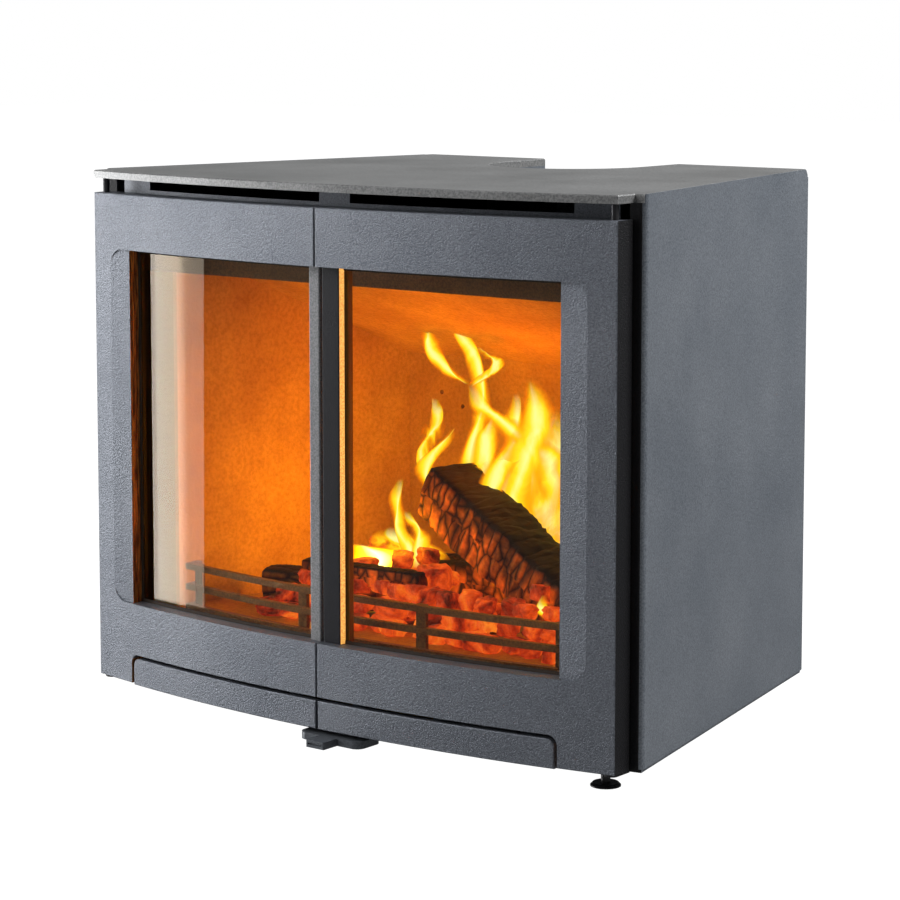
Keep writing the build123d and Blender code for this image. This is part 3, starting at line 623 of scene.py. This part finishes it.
def ember(name, place, size, turn, seed):
    """One rough block of glowing charcoal."""
    work = bmesh.new()
    bmesh.ops.create_icosphere(work, subdivisions=3, radius=1.0)
    shift = Vector([seed * step for step in EMBER_SEED_STEPS])
    spin = Matrix.Rotation(turn, 3, "Z") @ Matrix.Rotation(turn * EMBER_TILT_SHARE, 3, "X")
    for vert in work.verts:
        spot = vert.co
        blocky = max(abs(spot.x), abs(spot.y), abs(spot.z)) ** EMBER_SQUARENESS
        lumps = EMBER_ROUGH_SHARE * noise.noise(spot * EMBER_LUMP_SCALE + shift)
        dents = EMBER_ROUGH_SHARE * abs(noise.noise(spot * EMBER_DENT_SCALE + shift))
        reach = EMBER_FILL / blocky + lumps - dents
        block = Vector((spot.x * size.x, spot.y * size.y, spot.z * size.z)) * reach
        vert.co = spin @ block + place
        vert.co.z = max(vert.co.z, hearth_top)
    fire_piece(name, work, coals)


# Embers: three packed layers behind the guard, and loose ones further back
random.seed(7)
EMBER_LAYERS = 3
EMBER_COLUMNS = 16
EMBER_STEP = 0.021
EMBER_STRAY = 0.3
EMBER_LEFT = -0.145
EMBER_FRONT = (-0.103, -0.090)
EMBER_LAYER_SETBACK = 0.012
EMBER_LAYER_HEIGHT = 0.013
EMBER_FIRST_HEIGHT = 0.008
LOOSE_EMBERS = 44
LOOSE_LAYERS = 4
LOOSE_X = (-0.14, 0.18)
LOOSE_Y = (-0.075, 0.06)
EMBER_SIZES = ((0.011, 0.015), (0.009, 0.013), (0.008, 0.010))
EMBER_TURN = (-0.5, 0.5)

ember_places = []
for layer in range(EMBER_LAYERS):
    for column in range(EMBER_COLUMNS):
        steps = column + random.uniform(-EMBER_STRAY, EMBER_STRAY) + layer / 2
        depth = random.uniform(*EMBER_FRONT) + EMBER_LAYER_SETBACK * layer
        ember_places.append((EMBER_LEFT + EMBER_STEP * steps, depth, layer))
for index in range(LOOSE_EMBERS):
    spread = random.uniform(*LOOSE_X)
    ember_places.append((spread, random.uniform(*LOOSE_Y), index % LOOSE_LAYERS))
for index, (spread, depth, layer) in enumerate(ember_places):
    size = Vector([random.uniform(*sizes) for sizes in EMBER_SIZES])
    lift = EMBER_FIRST_HEIGHT + EMBER_LAYER_HEIGHT * layer
    place = Vector((spread, depth, hearth_top + lift))
    ember(f"ember_{index:02d}", place, size, random.uniform(*EMBER_TURN), index + 1.0)
ember("ember_block", Vector((0.000, -0.045, 0.122)), Vector((0.020, 0.014, 0.017)), 0.5, 99.0)

FLAME_SPREAD = 2.7
FLAME_TURN = Vector((0.93, 0.36, 0.0))
FLAME_STEPS = 10
FLAME_COLUMNS = 8
FLAME_SWAY = 0.012
FLAME_SWAY_TURNS = 5.0
FLAME_RIPPLE = 0.003
FLAME_RIPPLE_TURNS = 9
FLAME_SEED_STEP = 1.3


def smooth_between(before, start, end, after, share):
    """A point on a smooth curve between two of four neighbours."""
    return 0.5 * (
        2 * start + (end - before) * share
        + (2 * before - 5 * start + 4 * end - after) * share**2
        + (3 * start - before - 3 * end + after) * share**3
    )


def flame_ribbon(name, depth, points, seed, material):
    """A waving ribbon that follows (x, z, half width) points from its tip down."""
    stations = [Vector(point) for point in points]
    stations = [2 * stations[0] - stations[1], *stations, 2 * stations[-1] - stations[-2]]
    spine = []
    for index in range(1, len(stations) - 2):
        for step in range(FLAME_STEPS):
            around = stations[index - 1:index + 3]
            spine.append(smooth_between(*around, step / FLAME_STEPS))
    spine.append(stations[-2])
    last = len(spine) - 1
    work = bmesh.new()
    layer = work.loops.layers.uv.new("UVMap")
    rows = []
    for row, (x, z, half) in enumerate(spine):
        share = row / last
        sway = FLAME_SWAY * math.sin(FLAME_SWAY_TURNS * share + seed)
        centre = Vector((x, depth + sway, z))
        verts = []
        for column in range(FLAME_COLUMNS + 1):
            across = FLAME_TURN * half * FLAME_SPREAD * (2 * column / FLAME_COLUMNS - 1)
            ripple = FLAME_RIPPLE * math.sin(column + 3 * seed + FLAME_RIPPLE_TURNS * share)
            verts.append(work.verts.new(centre + across + Vector((0.0, ripple, 0.0))))
        rows.append(verts)
    for row, (a, b) in enumerate(zip(rows, rows[1:])):
        for column in range(FLAME_COLUMNS):
            face = work.faces.new((a[column], a[column + 1], b[column + 1], b[column]))
            places = ((column, row), (column + 1, row), (column + 1, row + 1), (column, row + 1))
            for corner, (place_x, place_y) in zip(face.loops, places):
                corner[layer].uv = (place_x / FLAME_COLUMNS, 1.0 - place_y / last)
    fire_piece(name, work, material)


# Flames: depth, then (x, z, half width) from the tip down, and the material
FLAMES = {
    "flame_tall": (0.07, ((-0.080, 0.350, 0.001), (-0.066, 0.328, 0.004), (-0.048, 0.302, 0.004),
                          (-0.034, 0.265, 0.004), (-0.036, 0.232, 0.005),
                          (-0.043, 0.190, 0.006)), flame),
    "flame_fork": (0.07, ((-0.111, 0.335, 0.001), (-0.098, 0.318, 0.004), (-0.068, 0.299, 0.004),
                          (-0.050, 0.284, 0.002)), flame),
    "flame_sweep": (0.04, ((-0.028, 0.288, 0.002), (-0.006, 0.270, 0.005), (0.020, 0.261, 0.007),
                           (0.050, 0.241, 0.009), (0.066, 0.222, 0.010),
                           (0.074, 0.180, 0.008)), flame),
    "flame_tongue": (0.02, ((0.065, 0.304, 0.002), (0.074, 0.285, 0.006), (0.068, 0.260, 0.008),
                            (0.050, 0.232, 0.010), (0.034, 0.195, 0.009),
                            (0.030, 0.160, 0.008)), flame),
    "flame_wisp": (0.06, ((-0.024, 0.323, 0.001), (-0.017, 0.310, 0.003), (-0.022, 0.298, 0.003),
                          (-0.032, 0.285, 0.002)), flame_veil),
    "flame_left": (0.06, ((-0.086, 0.269, 0.001), (-0.089, 0.245, 0.004), (-0.090, 0.225, 0.004),
                          (-0.086, 0.200, 0.002)), flame_veil),
    "flame_middle": (0.04, ((-0.053, 0.244, 0.001), (-0.061, 0.226, 0.003),
                            (-0.068, 0.206, 0.004), (-0.072, 0.180, 0.003)), flame),
    "flame_streak": (0.02, ((-0.094, 0.196, 0.001), (-0.089, 0.182, 0.003),
                            (-0.085, 0.168, 0.003), (-0.088, 0.148, 0.003),
                            (-0.080, 0.122, 0.004), (-0.074, 0.100, 0.003)), flame),
    "flame_right": (-0.05, ((0.133, 0.128, 0.001), (0.130, 0.112, 0.003), (0.134, 0.098, 0.003),
                            (0.130, 0.082, 0.002)), flame),
    "veil_high": (0.06, ((0.075, 0.262, 0.006), (0.070, 0.225, 0.022), (0.064, 0.180, 0.028),
                         (0.062, 0.130, 0.028), (0.060, 0.090, 0.020)), flame_veil),
    "veil_right": (0.09, ((0.100, 0.255, 0.010), (0.098, 0.215, 0.024), (0.094, 0.170, 0.030),
                          (0.090, 0.120, 0.030), (0.088, 0.085, 0.022)), flame_veil),
    "veil_inner": (0.08, ((0.030, 0.265, 0.006), (0.034, 0.225, 0.018), (0.030, 0.180, 0.024),
                          (0.026, 0.130, 0.024), (0.024, 0.090, 0.018)), flame_veil),
    "veil_low": (0.05, ((0.014, 0.235, 0.004), (0.016, 0.200, 0.014), (0.026, 0.165, 0.018),
                        (0.032, 0.120, 0.016), (0.030, 0.090, 0.012)), flame_veil),
    "veil_left": (0.03, ((-0.100, 0.150, 0.004), (-0.095, 0.135, 0.014), (-0.090, 0.115, 0.018),
                         (-0.092, 0.088, 0.014)), flame_veil),
    "flame_crest": (0.05, ((0.094, 0.282, 0.001), (0.090, 0.262, 0.004), (0.094, 0.236, 0.006),
                           (0.086, 0.205, 0.007), (0.078, 0.165, 0.006)), flame),
    "flame_inner": (0.03, ((0.030, 0.285, 0.001), (0.027, 0.262, 0.004), (0.034, 0.240, 0.005),
                           (0.022, 0.212, 0.006), (0.012, 0.180, 0.006)), flame),
    "flame_stem": (0.05, ((-0.012, 0.262, 0.001), (-0.012, 0.240, 0.005), (-0.006, 0.215, 0.006),
                          (-0.012, 0.190, 0.006), (-0.010, 0.150, 0.005)), flame),
    "flame_curl": (0.03, ((0.104, 0.250, 0.001), (0.100, 0.228, 0.005), (0.106, 0.205, 0.007),
                          (0.098, 0.175, 0.008), (0.090, 0.140, 0.006)), flame),
    "flame_lick": (0.01, ((-0.066, 0.172, 0.001), (-0.064, 0.156, 0.003), (-0.070, 0.138, 0.004),
                          (-0.066, 0.115, 0.003)), flame),
    "white_hot": (0.0, ((-0.118, 0.134, 0.008), (-0.112, 0.124, 0.013), (-0.108, 0.110, 0.013),
                        (-0.106, 0.092, 0.009)), white_hot),
}
for seed, (name, (depth, points, material)) in enumerate(FLAMES.items()):
    flame_ribbon(name, depth, points, seed * FLAME_SEED_STEP, material)


# Lamps

stove_middle = (cad_box[0] + cad_box[1]) / 2
for name, (place, size, watts) in SOFT_BOXES.items():
    data = bpy.data.lights.new(name, "AREA")
    data.shape = "RECTANGLE"
    data.size, data.size_y = size
    data.energy = watts
    lamp = bpy.data.objects.new(name, data)
    lamp.location = place
    lamp.rotation_euler = (stove_middle - Vector(place)).to_track_quat("-Z", "Y").to_euler()
    bpy.context.scene.collection.objects.link(lamp)

for name, (place, watts, colour) in FIRE_LAMPS.items():
    data = bpy.data.lights.new(name, "POINT")
    data.energy = watts
    data.color = colour
    data.shadow_soft_size = FIRE_LAMP_RADIUS
    lamp = bpy.data.objects.new(name, data)
    lamp.location = place
    lamp.visible_camera = False
    lamp.visible_glossy = False
    lamp.visible_transmission = False
    bpy.context.scene.collection.objects.link(lamp)


# Stage


def stage_sheet(name, corners, look):
    """A flat sheet with one material, for the staging around the stove."""
    mesh = bpy.data.meshes.new(name)
    mesh.from_pydata(corners, [], [(0, 1, 2, 3)])
    sheet = bpy.data.objects.new(name, mesh)
    bpy.context.scene.collection.objects.link(sheet)
    mesh.materials.append(look.material)
    return sheet


# A warm card left of the stove, seen only in the panes and fading toward its near edge
card_look = Nodes("card")
card_across = card_look.span(
    card_look.split(card_look.place)["X"], start=CARD_EDGE.x, end=CARD_EDGE.x + CARD_SPAN.x
)
card_light = card_look.add("ShaderNodeEmission")
card_light.inputs["Strength"].default_value = CARD_LEVEL
card_look.join(card_look.ramp(card_across, CARD_FADE), card_light.inputs["Color"])
card_look.show_mix(
    card_look.add("ShaderNodeLightPath").outputs["Is Singular Ray"],
    card_look.add("ShaderNodeBsdfTransparent").outputs["BSDF"],
    card_light.outputs["Emission"],
)
card_foot = Vector((0, 0, CARD_FOOT))
card_head = Vector((0, 0, CARD_HEAD))
card_far = CARD_EDGE + CARD_SPAN
card = stage_sheet(
    "card",
    [CARD_EDGE + card_foot, card_far + card_foot, card_far + card_head, CARD_EDGE + card_head],
    card_look,
)
for ray in ("camera", "diffuse", "transmission", "volume_scatter", "shadow"):
    setattr(card, f"visible_{ray}", False)

# A grey floor that the camera sees as nearly white, with the stove's shadow
floor_look = Nodes("floor")
floor_look.set(
    Base_Color=(*FLOOR_GREY, 1.0), Roughness=FLOOR_ROUGHNESS, Specular_IOR_Level=0.0
)
floor_white = floor_look.add("ShaderNodeEmission")
floor_white.inputs["Strength"].default_value = FLOOR_SEEN_LEVEL
floor_seen = floor_look.add("ShaderNodeLightPath").outputs["Is Camera Ray"]
floor_look.show_mix(
    math_node(floor_look.tree, "MULTIPLY", floor_seen, FLOOR_SEEN_SHARE),
    floor_look.shader.outputs["BSDF"],
    floor_white.outputs["Emission"],
)
floor = stage_sheet(
    "floor",
    [
        (-FLOOR_HALF, -FLOOR_HALF, 0), (FLOOR_HALF, -FLOOR_HALF, 0),
        (FLOOR_HALF, FLOOR_HALF, 0), (-FLOOR_HALF, FLOOR_HALF, 0),
    ],
    floor_look,
)
floor.visible_glossy = False
floor.visible_transmission = False

# A world that is white for the camera and straight through the panes, and plain elsewhere
world = bpy.data.worlds.new("studio")
bpy.context.scene.world = world
world.use_nodes = True
sky = world.node_tree
path = sky.nodes.new("ShaderNodeLightPath").outputs
bounces = math_node(sky, "ADD", path["Diffuse Depth"], path["Glossy Depth"])
straight = math_node(sky, "LESS_THAN", bounces, 0.5)
through_glass = math_node(sky, "MULTIPLY", path["Is Transmission Ray"], straight)
seen = math_node(sky, "MAXIMUM", path["Is Camera Ray"], through_glass)
level = sky.nodes.new("ShaderNodeMapRange")
level.inputs["To Min"].default_value = WORLD_LEVEL
level.inputs["To Max"].default_value = WHITE_LEVEL
sky.links.new(seen, level.inputs["Value"])
background = sky.nodes["Background"]
background.inputs["Color"].default_value = (*WHITE, 1.0)
sky.links.new(level.outputs["Result"], background.inputs["Strength"])

camera_data = bpy.data.cameras.new("camera")
camera_data.sensor_width = SENSOR
camera_data.lens = FOCAL_PIXELS / IMAGE_WIDTH * SENSOR
camera_data.shift_y = CAMERA_SHIFT
camera = bpy.data.objects.new("camera", camera_data)
bpy.context.scene.collection.objects.link(camera)
camera.location = CAMERA_PLACE
camera.rotation_euler = (math.pi / 2 - CAMERA_PITCH, 0.0, CAMERA_AZIMUTH)
bpy.context.scene.camera = camera
bpy.context.scene.view_settings.view_transform = "Standard"
